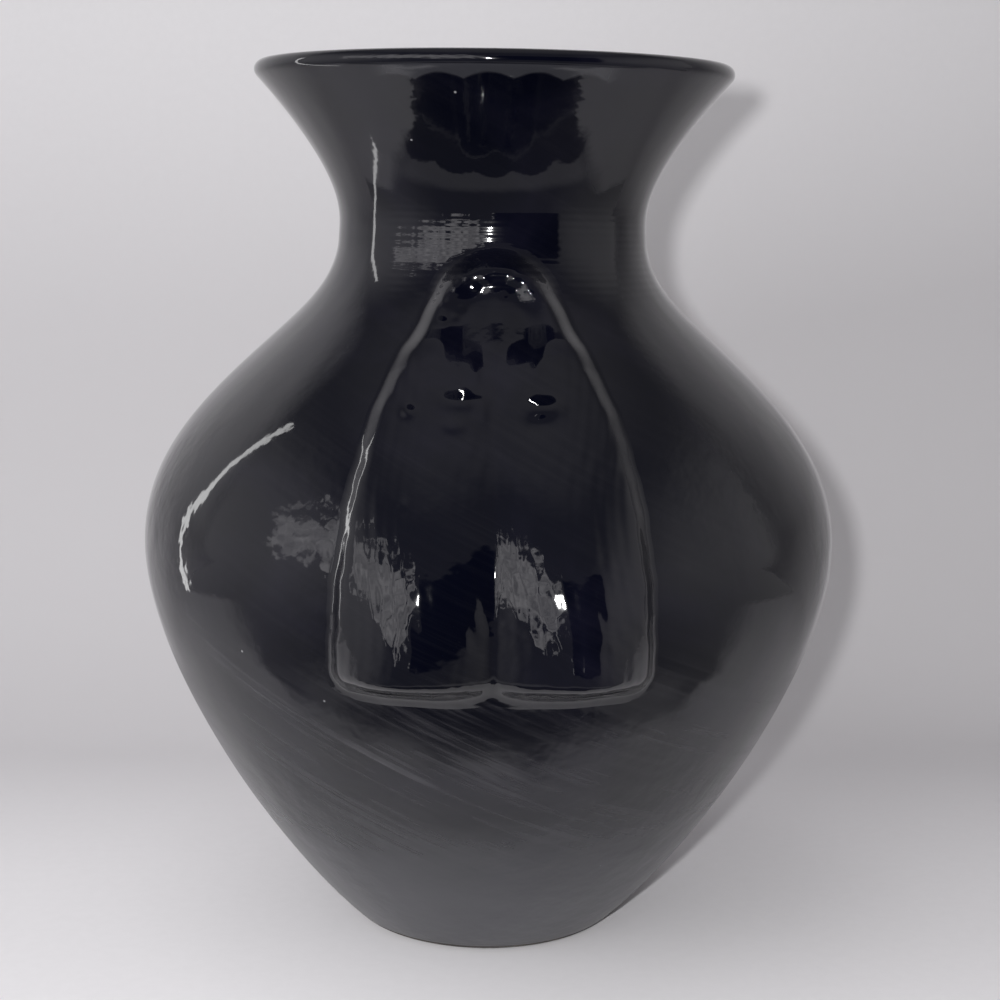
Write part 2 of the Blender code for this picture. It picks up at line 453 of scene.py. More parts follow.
@dataclass(frozen=True)
class BlackGlaze(Finish):
    """Glossy black glaze with faint clouds, streaks, throwing rings and specks, and painted reflections:
    stronger streaks in a band and low on the front, and a pale band under the lip.
    """

    name: str = "black_glaze"
    deep: Triple = (0.0011, 0.0014, 0.0043)
    cloudy: Triple = (0.0036, 0.0036, 0.0085)
    streak_and_reflection_colour: Triple = (0.060, 0.058, 0.066)
    film_and_reflection_colour: Triple = (0.062, 0.062, 0.070)
    speck: Triple = (0.22, 0.22, 0.23)
    smooth: float = 0.045
    worn: float = 0.30
    cloud_rough: float = 0.02
    speck_rough: float = 0.3
    film_and_reflection_rough: float = 0.10
    dull_rough: float = 0.19
    dull_levels: Levels = (0.096, 0.078)
    streaks_outside_reflection: float = 0.03
    speck_depth: float = 0.25
    streak_rise: float = 0.06
    bump: float = 0.30
    bump_depth: float = 0.001
    ior: float = 1.56
    clouds: Clouds = Clouds()
    painted_reflection: PaintedReflectionBands = PaintedReflectionBands()
    streaks: Streaks = Streaks()
    specks: Specks = Specks()
    foot_film_and_lip_reflection: FootFilmAndLipReflection = FootFilmAndLipReflection()
    surface: Surface = Surface()

    def shader(self, sheet: NodeSheet) -> bpy.types.Node:
        """Build the glaze's nodes.

        Args:
            sheet: the node sheet of the material.

        Returns:
            The glaze's shader.
        """
        clouds = self.clouds.mask(sheet)
        # Painted reflection: the band and low sheen where the bright table edge and table show in the glaze,
        # which strengthen the real streaks.
        reflection_share = self.painted_reflection.mask(sheet)
        streaks = self.streaks.mask(sheet) * (self.streaks_outside_reflection + reflection_share * (1.0 - self.streaks_outside_reflection))
        specks = self.specks.mask(sheet)
        foot_film_and_lip_reflection = self.foot_film_and_lip_reflection.mask(sheet)
        colour = self.deep
        # The streak colour shows both real streaks and the painted reflection. The film colour shows the
        # pale foot film and the painted reflection under the lip.
        for share, laid in ((clouds, self.cloudy), (foot_film_and_lip_reflection, self.film_and_reflection_colour), (streaks, self.streak_and_reflection_colour),
                            (specks, self.speck)):
            colour = sheet.blend(share, colour, laid)
        height = sheet.parts(sheet.place())[2]
        rough = (self.smooth + clouds * self.cloud_rough
                 + height.step(*self.dull_levels) * self.dull_rough
                 + streaks * (self.worn - self.smooth) + specks * self.speck_rough
                 + foot_film_and_lip_reflection * self.film_and_reflection_rough)
        relief = self.surface.height(sheet) - specks * self.speck_depth + streaks * self.streak_rise
        bump = sheet.node("ShaderNodeBump", None,
                          {"Strength": self.bump, "Distance": self.bump_depth, "Height": relief})
        return sheet.node("ShaderNodeBsdfPrincipled", None,
                          {"Base Color": colour, "Roughness": rough.clamp(), "IOR": self.ior,
                           "Normal": bump.outputs["Normal"]})


@dataclass(frozen=True)
class BareClay(Finish):
    """The unglazed foot: dark fired clay with turning lines and wear."""

    name: str = "bare_clay"
    body: Triple = (0.045, 0.040, 0.037)
    pale: Triple = (0.125, 0.112, 0.100)
    rough: float = 0.72
    grain_rough: float = 0.2
    grain: Grain = Grain(900.0, 4.0, 0.65)
    patch: Grain = Grain(60.0, 3.0, 0.5)
    line_pitch: float = 0.0011
    line_bend: float = 6.0
    wear_shares: Pair = (0.7, 0.5)
    wear_levels: Levels = (0.52, 0.78)
    pale_wear: float = 0.7
    pale_lines: float = 0.12
    grain_rise: float = 0.6
    line_rise: float = 0.5
    bump: float = 0.6
    bump_depth: float = 0.0006

    def shader(self, sheet: NodeSheet) -> bpy.types.Node:
        """Build the clay's nodes.

        Args:
            sheet: the node sheet of the material.

        Returns:
            The clay's shader.
        """
        place = sheet.place()
        grain, patch = sheet.noise(place, self.grain), sheet.noise(place, self.patch)
        flat = sheet.node("ShaderNodeVectorMath", {"operation": "MULTIPLY"},
                          {0: place, 1: (1.0, 1.0, 0.0)})
        radius = sheet.value("ShaderNodeVectorMath", "Value", {"operation": "LENGTH"},
                             {0: flat.outputs[0]})
        lines = (radius * (math.tau / self.line_pitch) + patch * self.line_bend).maths("SINE")
        lines = lines * 0.5 + 0.5
        wear = (patch * self.wear_shares[0] + grain * self.wear_shares[1]).step(*self.wear_levels)
        colour = sheet.blend(wear * self.pale_wear + lines * self.pale_lines, self.body, self.pale)
        rough = (self.rough + grain * self.grain_rough).clamp()
        bump = sheet.node("ShaderNodeBump", None,
                          {"Strength": self.bump, "Distance": self.bump_depth,
                           "Height": grain * self.grain_rise + lines * self.line_rise})
        return sheet.node("ShaderNodeBsdfPrincipled", None,
                          {"Base Color": colour, "Roughness": rough, "Normal": bump.outputs["Normal"]})


def cubic(start: np.ndarray, pull_out: np.ndarray, pull_in: np.ndarray, end: np.ndarray,
          steps: int) -> np.ndarray:
    """Points along a cubic curve.

    Args:
        start: first point.
        pull_out: handle of the first point.
        pull_in: handle of the last point.
        end: last point.
        steps: number of equal steps of the curve's own parameter.

    Returns:
        The points, with the start left out.
    """
    t = np.linspace(0.0, 1.0, steps + 1)[1:, None]
    s = 1.0 - t
    return s**3 * start + 3 * s * s * t * pull_out + 3 * s * t * t * pull_in + t**3 * end


def arc(centre: Sequence[float], radius: float, start: float, end: float, steps: int) -> np.ndarray:
    """Points along an arc in the radius and height plane, ends included."""
    angle = np.linspace(start, end, steps + 1)
    return np.asarray(centre) + radius * np.column_stack((np.cos(angle), np.sin(angle)))


def spaced(points: np.ndarray, spacing: float) -> np.ndarray:
    """The same line with its points at even distances.

    Args:
        points: the line's points.
        spacing: the distance wanted between neighbours.

    Returns:
        The new points, ends included.
    """
    length = lengths_along(points)
    places = np.linspace(0.0, length[-1], max(int(round(length[-1] / spacing)), 1) + 1)
    return np.column_stack([np.interp(places, length, points[:, k]) for k in range(2)])


def lengths_along(points: np.ndarray) -> np.ndarray:
    """Distance of each point along its line."""
    return np.concatenate(((0.0,), np.cumsum(np.linalg.norm(np.diff(points, axis=0), axis=1))))


def eased(share: np.ndarray) -> np.ndarray:
    """Smooth step from 0 to 1 while the share goes from 0 to 1."""
    held = np.clip(share, 0.0, 1.0)
    return held * held * (3.0 - 2.0 * held)


@dataclass
class PotProfile:
    """Outer outline of the thrown pot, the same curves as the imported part's."""

    height: float = 0.250
    rim_radius: float = 0.068
    neck_radius: float = 0.0442
    neck_height: float = 0.2006
    shoulder_radius: float = 0.1004
    shoulder_height: float = 0.1142
    base_radius: float = 0.038
    base_rounding: float = 0.007
    wall: float = 0.0052
    floor: float = 0.009
    flare_lean: float = math.radians(42.0)
    base_lean: float = math.radians(47.0)
    flare_pulls: Pair = (0.87, 0.16)
    shoulder_pulls: Pair = (0.275, 0.505)
    belly_pulls: Pair = (0.305, 0.30)
    swells: Sequence[Triple] = ((0.1960, 0.0080, 0.00035), (0.1840, 0.0060, -0.00015))
    inset: float = 0.00006
    spacing: float = 0.0016
    curve_steps: int = 160
    edge_steps: int = 12
    points: np.ndarray = field(init=False)
    normals: np.ndarray = field(init=False)
    lengths: np.ndarray = field(init=False)

    def __post_init__(self) -> None:
        """Work out the outline, rising from the flat base to the lip, and its normals."""
        points = spaced(self.curves()[::-1], self.spacing)
        for height, reach, rise in self.swells:
            points[:, 0] += rise * np.exp(-((points[:, 1] - height) / reach) ** 2)
        run = np.gradient(points, axis=0)
        normals = np.column_stack((run[:, 1], -run[:, 0]))
        normals /= np.linalg.norm(normals, axis=1)[:, None]
        normals[0] = (0.0, -1.0)
        normals[-1] = (math.cos(self.flare_lean), -math.sin(self.flare_lean))
        self.points = points - self.inset * normals
        self.points[0, 1] = 0.0
        self.normals = normals
        self.lengths = lengths_along(self.points)

    def curves(self) -> np.ndarray:
        """Flare, slope, belly and base edge, running down.

        Returns:
            The points as radius and height.
        """
        lean_out = np.array((-math.sin(self.flare_lean), -math.cos(self.flare_lean)))
        lean_in = np.array((-math.sin(self.base_lean), -math.cos(self.base_lean)))
        up = np.array((0.0, 1.0))
        lip = self.wall / 2
        top = np.array((self.rim_radius - lip + lip * math.cos(self.flare_lean),
                        self.height - lip - lip * math.sin(self.flare_lean)))
        neck = np.array((self.neck_radius, self.neck_height))
        shoulder = np.array((self.shoulder_radius, self.shoulder_height))
        edge = arc(self.edge_centre(), self.base_rounding, -self.base_lean, -math.pi / 2, self.edge_steps)
        foot = edge[0]
        spans = (top[1] - neck[1], neck[1] - shoulder[1], shoulder[1] - foot[1])
        flare = cubic(top, top + lean_out * self.flare_pulls[0] * spans[0],
                      neck + up * self.flare_pulls[1] * spans[0], neck, self.curve_steps)
        slope = cubic(neck, neck - up * self.shoulder_pulls[0] * spans[1],
                      shoulder + up * self.shoulder_pulls[1] * spans[1], shoulder, self.curve_steps)
        belly = cubic(shoulder, shoulder - up * self.belly_pulls[0] * spans[2],
                      foot - lean_in * self.belly_pulls[1] * spans[2], foot, self.curve_steps)
        return np.vstack((top[None], flare, slope, belly, edge[1:]))

    def edge_centre(self) -> np.ndarray:
        """Centre of the rounded edge between the wall and the flat base."""
        reach = self.base_rounding * math.tan((math.pi / 2 - self.base_lean) / 2)
        return np.array((self.base_radius - reach, self.base_rounding))

    def radius_at(self, height: Places) -> np.ndarray:
        """Outer radius at a height or heights."""
        return np.interp(height, self.points[:, 1], self.points[:, 0])

    def length_at(self, height: Places) -> np.ndarray:
        """Distance along the outline from the base at a height or heights."""
        return np.interp(height, self.points[:, 1], self.lengths)

    def height_at(self, length: Places) -> np.ndarray:
        """Height at a distance along the outline."""
        return np.interp(length, self.lengths, self.points[:, 1])

    def normal_at(self, height: Places) -> tuple[np.ndarray, np.ndarray]:
        """Outer normal of the outline.

        Args:
            height: a height or heights.

        Returns:
            The radial and the upward parts.
        """
        parts = [np.interp(height, self.points[:, 1], self.normals[:, k]) for k in range(2)]
        size = np.hypot(*parts)
        return parts[0] / size, parts[1] / size


@dataclass(frozen=True)
class Waver:
    """The hand of the maker: slow, shallow waves in the wall, never proud of the outline.

    Each wave holds its count round the pot, its turn with height, its phase and its share.
    """

    depth: float = 0.00020
    waves: tuple = ((3, 31.0, 0.4, 0.27), (5, -47.0, 2.1, 0.18), (8, 83.0, 1.2, 0.15),
                    (2, 210.0, 0.9, 0.14), (13, -120.0, 4.0, 0.09), (29, 140.0, 1.0, 0.08),
                    (38, -95.0, 2.6, 0.09))

    def at(self, turn: Places, height: Places) -> np.ndarray:
        """How far the wall lies outside the outline, which is zero or less.

        Args:
            turn: angle about the axis in radians.
            height: height in metres.

        Returns:
            The distance along the normal.
        """
        total = sum(share * np.sin(count * turn + rate * height + phase)
                    for count, rate, phase, share in self.waves)
        return 0.5 * self.depth * (total - 1.0)


def make_object(name: str, mesh: bmesh.types.BMesh, finish: bpy.types.Material) -> bpy.types.Object:
    """Store a mesh as a smooth-shaded object.

    Args:
        name: the piece's name.
        mesh: the finished mesh, which is freed.
        finish: its material.

    Returns:
        The new object.
    """
    data = bpy.data.meshes.new(name)
    mesh.to_mesh(data)
    mesh.free()
    data.materials.append(finish)
    data.polygons.foreach_set("use_smooth", [True] * len(data.polygons))
    return show(name, data)


def show(name: str, data: bpy.types.ID) -> bpy.types.Object:
    """Put a mesh, lamp or camera in the scene.

    Args:
        name: the object's name.
        data: what the object holds.

    Returns:
        The new object.
    """
    item = bpy.data.objects.new(name, data)
    bpy.context.scene.collection.objects.link(item)
    return item


def read_places(mesh: bmesh.types.BMesh) -> np.ndarray:
    """Places of all vertices, one row each."""
    return np.array([vert.co[:] for vert in mesh.verts])


def write_places(mesh: bmesh.types.BMesh, *columns: np.ndarray) -> None:
    """Move all vertices to new places, given as columns of X, Y and Z."""
    for vert, place in zip(mesh.verts, np.column_stack(columns)):
        vert.co = place


def face_outwards(mesh: bmesh.types.BMesh) -> None:
    """Turn all faces of a closed mesh outwards.

    Args:
        mesh: the mesh, which is changed in place.
    """
    bmesh.ops.recalc_face_normals(mesh, faces=mesh.faces[:])
    if mesh.calc_volume(signed=True) < 0.0:
        bmesh.ops.reverse_faces(mesh, faces=mesh.faces[:])
    mesh.normal_update()


def spin(loop: Sequence[Sequence[float]], steps: int) -> bmesh.types.BMesh:
    """Turn a line of radius and height points, which starts and ends on the axis, into a solid.

    Args:
        loop: the line's points.
        steps: how many steps make the full turn.

    Returns:
        The closed mesh.
    """
    mesh = bmesh.new()
    verts = [mesh.verts.new((radius, 0.0, height)) for radius, height in loop]
    edges = [mesh.edges.new(pair) for pair in zip(verts, verts[1:])]
    bmesh.ops.spin(mesh, geom=verts + edges, cent=(0, 0, 0), axis=(0, 0, 1), angle=math.tau,
                   steps=steps, use_merge=True)
    bmesh.ops.remove_doubles(mesh, verts=mesh.verts[:], dist=TINY)
    face_outwards(mesh)
    return mesh


@dataclass
class Vessel:
    """The glazed pot: outer wall, rounded lip, inner wall and floor, as one thrown solid."""

    profile: PotProfile
    waver: Waver
    steps: int = 240
    lip_steps: int = 16
    inner_spacing: float = 0.0026
    floor_rings: int = 9
    corner: float = 0.012
    corner_start: float = 1.15
    corner_bend: float = 0.42
    corner_rise: float = 0.25
    corner_steps: int = 8
    sole_height: float = 0.0008
    sole_inset: float = 0.0012
    outer_depth: float = 0.001
    lip_fade: float = 0.012
    foot_fade: float = 0.02
    ridge_depth: float = 0.00022
    ridge_pitch: float = 0.0075

    def build(self) -> bmesh.types.BMesh:
        """Spin the vessel, wave its outer wall and raise the ridges of throwing inside.

        Returns:
            The closed mesh.
        """
        mesh = spin(self.loop(), self.steps)
        profile = self.profile
        top = profile.points[-1, 1]
        x, y, height = read_places(mesh).T
        turn = np.arctan2(x, -y)
        flat = np.hypot(x, y)
        outer = (height < top) & (flat > profile.radius_at(height) - self.outer_depth)
        inner = ~outer & (height > profile.floor + self.corner) & (height < top)
        fade = np.clip((top - height) / self.lip_fade, 0.0, 1.0) * np.clip(height / self.foot_fade, 0.0, 1.0)
        rings = np.sin(math.tau * height / self.ridge_pitch + turn) - 1.0
        shift = np.where(outer, self.waver.at(turn, height) * fade, 0.0)
        shift = np.where(inner, -0.5 * self.ridge_depth * rings, shift)
        level, up = profile.normal_at(height)
        scale = 1.0 + shift * level / np.maximum(flat, TINY)
        write_places(mesh, x * scale, y * scale, height + shift * up)
        return mesh

    def loop(self) -> list:
        """Outline of the vessel from the floor's middle, up inside, over the lip and down outside.

        Returns:
            The points as radius and height.
        """
        profile = self.profile
        outer = profile.points
        inner = spaced(outer - profile.wall * profile.normals, self.inner_spacing)
        inner = inner[inner[:, 1] > profile.floor + self.corner]
        start = np.array((inner[0][0] - self.corner * self.corner_start, profile.floor))
        bend = np.array((inner[0][0] - self.corner * self.corner_bend, profile.floor))
        corner = cubic(start, bend, bend + (inner[0] - bend) * self.corner_rise, inner[0], self.corner_steps)
        floor = np.column_stack((np.linspace(0.0, start[0], self.floor_rings),
                                 np.full(self.floor_rings, profile.floor)))
        lip = profile.wall / 2
        centre = np.array((profile.rim_radius - lip, profile.height - lip))
        bead = arc(centre, lip - profile.inset, math.pi - profile.flare_lean, -profile.flare_lean,
                   self.lip_steps)
        sole = [(outer[1][0] - self.sole_inset, self.sole_height), (0.0, self.sole_height)]
        wall = outer[:0:-1]
        wall = wall[wall[:, 1] > self.sole_height]
        return [*map(tuple, np.vstack((floor, corner[:-1], inner, bead[1:-1], wall))), *sole]

    def dress(self, glaze: bpy.types.Material) -> bpy.types.Object:
        """Make the piece and let it stand for the walls and lip of the part.

        Args:
            glaze: its material.

        Returns:
            The piece.
        """
        piece = make_object("glazed_vessel", self.build(), glaze)
        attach(piece, ROOT)
        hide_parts("lower_body", "shoulder", "neck", "rim_lip")
        return piece


@dataclass
class Foot:
    """The bare clay foot under the glaze line."""

    profile: PotProfile
    steps: int = 160
    edge_steps: int = 14
    edge_inset: float = 0.00018
    sole_rings: int = 15
    sole_share: float = 0.98
    top: float = 0.0022
    top_inset: float = 0.003

    def build(self) -> bmesh.types.BMesh:
        """Spin the foot disc.

        Returns:
            The closed mesh.
        """
        profile = self.profile
        centre = profile.edge_centre()
        edge = arc(centre, profile.base_rounding - self.edge_inset, -math.pi / 2, -profile.base_lean,
                   self.edge_steps)
        edge = edge[edge[:, 1] < self.top]
        sole = [(centre[0] * share, 0.0) for share in np.linspace(0.0, self.sole_share, self.sole_rings)]
        loop = [*sole, *map(tuple, edge - (0.0, edge[0][1])),
                (edge[-1][0] - self.top_inset, self.top), (0.0, self.top)]
        return spin(loop, self.steps)

    def dress(self, clay: bpy.types.Material) -> bpy.types.Object:
        """Make the piece and let it stand for the base of the part.

        Args:
            clay: its material.

        Returns:
            The piece.
        """
        piece = make_object("bare_foot", self.build(), clay)
        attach(piece, ROOT)
        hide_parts("base")
        return piece


@dataclass(frozen=True)
class Lump:
    """A small soft swelling of the relief: its place, its reach each way and its rise."""

    across: float
    height: float
    wide: float
    tall: float
    rise: float

    def at(self, across: np.ndarray, height: np.ndarray) -> np.ndarray:
        """Rise of the lump at places on the wall."""
        return self.rise * np.exp(-((across - self.across) / self.wide) ** 2
                                  - ((height - self.height) / self.tall) ** 2)


LUMPS = tuple(Lump(*row) for row in (
    (-0.0085, 0.1624, 0.0046, 0.0020, 0.00100), (0.0120, 0.1614, 0.0044, 0.0021, 0.00125),
    (0.0108, 0.1570, 0.0040, 0.0023, -0.00105), (-0.0100, 0.1572, 0.0030, 0.0018, 0.00085),
    (-0.0030, 0.1600, 0.0014, 0.0030, 0.00060), (-0.0209, 0.1600, 0.0018, 0.0014, 0.00090),
    (-0.0214, 0.1395, 0.0010, 0.0010, 0.00025), (-0.0049, 0.1690, 0.0011, 0.0032, 0.00050),
    (0.0102, 0.1700, 0.0010, 0.0030, 0.00040), (-0.0097, 0.1902, 0.0010, 0.0010, 0.00034),
    (-0.0073, 0.1930, 0.0010, 0.0009, 0.00036), (-0.0028, 0.1962, 0.0016, 0.0009, 0.00036),
    (0.0026, 0.1974, 0.0014, 0.0008, 0.00026), (-0.0121, 0.1860, 0.0011, 0.0010, 0.00034),
    (-0.0049, 0.1896, 0.0009, 0.0009, 0.00030), (-0.0084, 0.1845, 0.0012, 0.0010, 0.00036),
    (-0.0130, 0.1812, 0.0012, 0.0010, 0.00036), (-0.0100, 0.1822, 0.0009, 0.0009, 0.00030),
    (-0.0025, 0.1920, 0.0010, 0.0008, 0.00030), (0.0045, 0.1921, 0.0009, 0.0009, 0.00036),
    (0.0024, 0.1880, 0.0010, 0.0009, 0.00034), (0.0056, 0.1893, 0.0012, 0.0012, -0.00040),
    (0.0080, 0.1894, 0.0010, 0.0010, 0.00034),
))


@dataclass
class ReliefForm:
    """Outline and rise of the relief: two lobes side by side, under a hollow hood with a thick rim."""

    profile: PotProfile
    foot: float = 0.0905
    apex: float = 0.1995
    half_width: float = 0.042
    least_half: float = 0.001
    corner: float = 0.0065
    corner_steps: int = 12
    curve_steps: int = 40
    hood_height: float = 0.0235
    hood_half_width: float = 0.0226
    lobe_pulls: tuple = ((-0.012, 0.35), (-0.131, 0.81))
    hood_pulls: tuple = ((-0.107, 0.30), (-0.179, 0.955))
    notch_rise: float = 0.0009
    notch_width: float = 0.0035
    notch_power: float = 1.5
    lobe_foot_rise: float = 0.0136
    lobe_top_rise: float = 0.0034
    lobe_taper: float = 0.060
    taper_ease: float = 1.5
    valley_depth: float = 0.88
    valley_reach: float = 0.66
    valley_power: float = 2.2
    valley_round: float = 0.0012
    flank_reach: float = 0.52
    flank_drop: float = 0.85
    flank_top_drop: float = 0.25
    flank_power: float = 1.5
    foot_round: float = 0.0066
    foot_round_least: float = 0.25
    brow: float = 0.1748
    brow_drop: float = 0.0052
    brow_middle: float = 0.0125
    brow_arch: float = 20.0
    hood_floor: float = 0.0007
    hood_floor_slope: float = 0.075
    rim_foot_rise: float = 0.0042
    rim_top_rise: float = 0.0060
    hood_start: float = 0.171
    spine_rise: float = 0.0010
    spine_width: float = 0.0045
    bowl_middle: float = 0.1785
    bowl_height: float = 0.0165
    bowl_half_width: float = 0.0145
    bowl_flat: float = 0.52
    edge_width: float = 0.0040
    edge_blend: float = 0.0013
    foot_blend: float = 0.0026
    foot_blend_reach: float = 0.010
    tail_start: float = 0.0036
    tail_width: float = 0.0016
    wobble: float = 0.00018
    wobble_waves: tuple = ((1.0, 0.0, 330.0, 0.0), (0.6, 0.0, 790.0, 1.0), (0.5, 400.0, 0.0, 0.0))
    ripple: float = 0.000032
    ripple_waves: tuple = ((1.0, 1150.0, ((3.4, 110.0, 0.0), (2.0, 230.0, 0.0))),
                           (0.7, 2100.0, ((4.0, 95.0, 1.0),)))
    lumps: Sequence[Lump] = LUMPS
    line: np.ndarray = field(init=False)
    side_line: np.ndarray = field(init=False)

    def __post_init__(self) -> None:
        """Work out the half outline from the middle of the foot to the apex."""
        centre = np.array((self.half_width - self.corner, self.foot + self.corner))
        across = np.linspace(0.0, centre[0], self.curve_steps)
        foot = np.column_stack((across, self.foot + self.notch(across)))
        corner = arc(centre, self.corner, -math.pi / 2, 0.0, self.corner_steps)[1:]
        split = np.array((self.hood_half_width, self.apex - self.hood_height))
        apex = np.array((0.0, self.apex))
        lobe = self.side(corner[-1], split, self.lobe_pulls)
        hood = self.side(split, apex, self.hood_pulls)
        self.line = np.vstack((foot, corner, lobe, hood))
        self.side_line = self.line[len(foot):]

    def side(self, low: np.ndarray, high: np.ndarray, pulls: tuple) -> np.ndarray:
        """One curve of the outline.

        Args:
            low: its first point.
            high: its last point.
            pulls: its handles, by shares of the half width and of the curve's height.

        Returns:
            The curve's points, with the first left out.
        """
        span = high[1] - low[1]
        handles = [low + np.array((inwards * self.half_width, up * span)) for inwards, up in pulls]
        return cubic(low, *handles, high, self.curve_steps)

    def notch(self, across: np.ndarray) -> np.ndarray:
        """How far the foot line rises where the lobes meet."""
        return self.notch_rise * np.exp(-(np.abs(across) / self.notch_width) ** self.notch_power)

    def half_at(self, height: np.ndarray) -> np.ndarray:
        """Half width of the relief at heights, from its corner up."""
        return np.interp(height, self.side_line[:, 1], self.side_line[:, 0])

    def inside(self, across: np.ndarray, height: np.ndarray) -> np.ndarray:
        """Distance inside the outline, measured on the wall, and negative outside it.

        Args:
            across: distances round the wall from the middle.
            height: heights.

        Returns:
            The distances.
        """
        line = np.column_stack((self.line[:, 0], self.profile.length_at(self.line[:, 1])))
        place = np.column_stack((np.abs(across), self.profile.length_at(height)))
        best = np.full(len(place), np.inf)
        for start, end in zip(line, line[1:]):
            run = end - start
            share = np.clip(((place - start) @ run) / (run @ run), 0.0, 1.0)
            best = np.minimum(best, np.linalg.norm(place - start - share[:, None] * run, axis=1))
        within = ((np.abs(across) < self.half_at(height)) & (height < self.apex)
                  & (height > self.foot + self.notch(across)))
        return np.where(within, best, -best)

    def softened(self, distance: np.ndarray, height: np.ndarray) -> np.ndarray:
        """A distance that eases to nothing outside the edge, as pooled slip does, most at the foot.

        Args:
            distance: distances inside the edge, negative outside it.
            height: heights of the same places.

        Returns:
            The eased distances.
        """
        low = eased(1.0 - (height - self.foot) / self.foot_blend_reach)
        blend = self.edge_blend + (self.foot_blend - self.edge_blend) * low
        return 0.5 * (distance + np.sqrt(distance**2 + blend**2))

    def lobes(self, across: np.ndarray, height: np.ndarray) -> np.ndarray:
        """Rise of the two lobes: thickest at the foot, with a valley between them.

        Args:
            across: distances round the wall from the middle.
            height: heights.

        Returns:
            The rises.
        """
        climb = np.clip((height - self.foot - self.corner) / self.lobe_taper, 0.0, 1.0)
        more = self.lobe_foot_rise - self.lobe_top_rise
        crown = self.lobe_top_rise + more * (1.0 - climb) ** self.taper_ease
        half = np.maximum(self.half_at(height), self.least_half)
        near = np.sqrt(across**2 + self.valley_round**2) / (self.valley_reach * half)
        crown *= 1.0 - self.valley_depth * (1.0 - np.minimum(near, 1.0)) ** self.valley_power
        flank = np.clip((half - np.abs(across)) / (self.flank_reach * half), 0.0, 1.0)
        drop = self.flank_drop + (self.flank_top_drop - self.flank_drop) * climb
        crown *= 1.0 - drop * (1.0 - flank) ** self.flank_power
        share = self.foot_round_least + (1.0 - self.foot_round_least) * crown / self.lobe_foot_rise
        foot = self.softened(height - self.foot - self.notch(across), height) / (self.foot_round * share)
        return crown * np.sqrt(1.0 - (1.0 - np.minimum(foot, 1.0)) ** 2)

    def hood(self, across: np.ndarray, height: np.ndarray) -> np.ndarray:
        """Rise of the hood: a thick rim round a hollow whose floor climbs a little.

        Args:
            across: distances round the wall from the middle.
            height: heights.

        Returns:
            The rises.
        """
        climb = (height - self.bowl_middle) / self.bowl_height
        rim = self.rim_foot_rise + (self.rim_top_rise - self.rim_foot_rise) * eased(climb)
        reach = np.hypot(across / self.bowl_half_width, np.maximum(climb, 0.0))
        wall = eased((reach - self.bowl_flat) / (1.0 - self.bowl_flat))
        floor = self.hood_floor + self.hood_floor_slope * (height - self.hood_start)
        floor = floor + self.spine_rise * np.exp(-(across / self.spine_width) ** 2)
        return floor + (rim - floor) * wall

    def wander(self, across: np.ndarray, height: np.ndarray) -> np.ndarray:
        """Small waves of the outline."""
        return sum(share * np.sin(across * round_rate + height * rate + phase)
                   for share, round_rate, rate, phase in self.wobble_waves)

    def strokes(self, across: np.ndarray, height: np.ndarray) -> np.ndarray:
        """Fine upright marks of smoothing, which sway with height.

        Args:
            across: distances round the wall from the middle.
            height: heights.

        Returns:
            The marks' rise before it is scaled.
        """
        total = np.zeros(len(across))
        for share, rate, sways in self.ripple_waves:
            sway = sum(depth * np.sin(height * pace + phase) for depth, pace, phase in sways)
            total += share * np.sin(across * rate + sway)
        return total

    def rise(self, across: np.ndarray, height: np.ndarray) -> np.ndarray:
        """How far the relief stands off the wall, measured level.

        Args:
            across: distances round the wall from the middle.
            height: heights.

        Returns:
            The rises.
        """
        inside = self.inside(across, height) + self.wobble * self.wander(across, height)
        brow = self.brow - self.brow_arch * (np.abs(across) - self.brow_middle) ** 2
        cover = eased((height - brow) / self.brow_drop + 0.5)
        lobes, hood = self.lobes(across, height), self.hood(across, height)
        rise = lobes + (hood - lobes) * cover
        rise = rise + sum(lump.at(across, height) for lump in self.lumps)
        rise += self.ripple * self.strokes(across, height) * (1.0 - cover)
        ramp = self.softened(inside, height) - self.softened(inside - self.edge_width, height)
        ramp *= eased((inside + self.tail_start) / self.tail_width)
        return rise * ramp / self.edge_width


